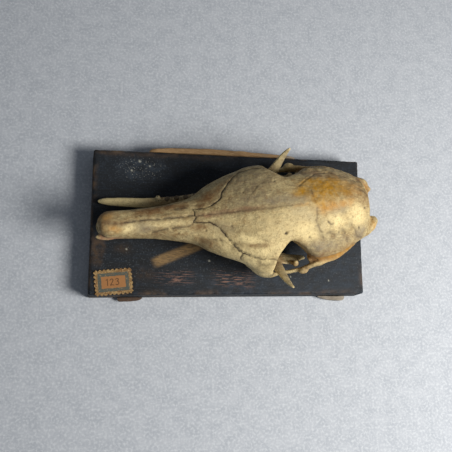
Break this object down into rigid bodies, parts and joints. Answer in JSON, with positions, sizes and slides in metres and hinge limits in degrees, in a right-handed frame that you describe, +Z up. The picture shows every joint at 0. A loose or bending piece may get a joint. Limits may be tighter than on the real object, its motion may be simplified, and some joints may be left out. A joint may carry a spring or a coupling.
{
  "type": "mounted animal skull",
  "caption": "Long-snouted armadillo skull lying with its loose lower jaw halves on an old dark wooden display board with a perforated paper label",
  "frame": {"origin": "middle of the board's flat underside", "axes": "+X runs along the board from the snout's end to the back of the head, +Y is the far long side, where the animal's right half jaw lies, and +Z is up"},
  "size_m": [0.1023, 0.0568, 0.0384],
  "materials": {
    "bone": "dry, aged bone, tan-grey to cream, with brown sutures",
    "jaw_bone": "dry, aged bone, pale cream",
    "board_paint": "old blue-black paint on wood, worn and scratched",
    "label_paper": "aged, browned printed paper",
    "raw_wood": "bare split wood"
  },
  "bodies": {
    "root": {"board": "board_paint", "label": "label_paper", "edge_strip": "raw_wood", "splinter_left": "raw_wood", "splinter_right": "raw_wood", "cheek_arch_right": "bone", "cheek_arch_left": "bone", "snout": "bone", "braincase": "bone", "mandible_right": "jaw_bone", "mandible_left": "jaw_bone"}
  },
  "joints": []
}
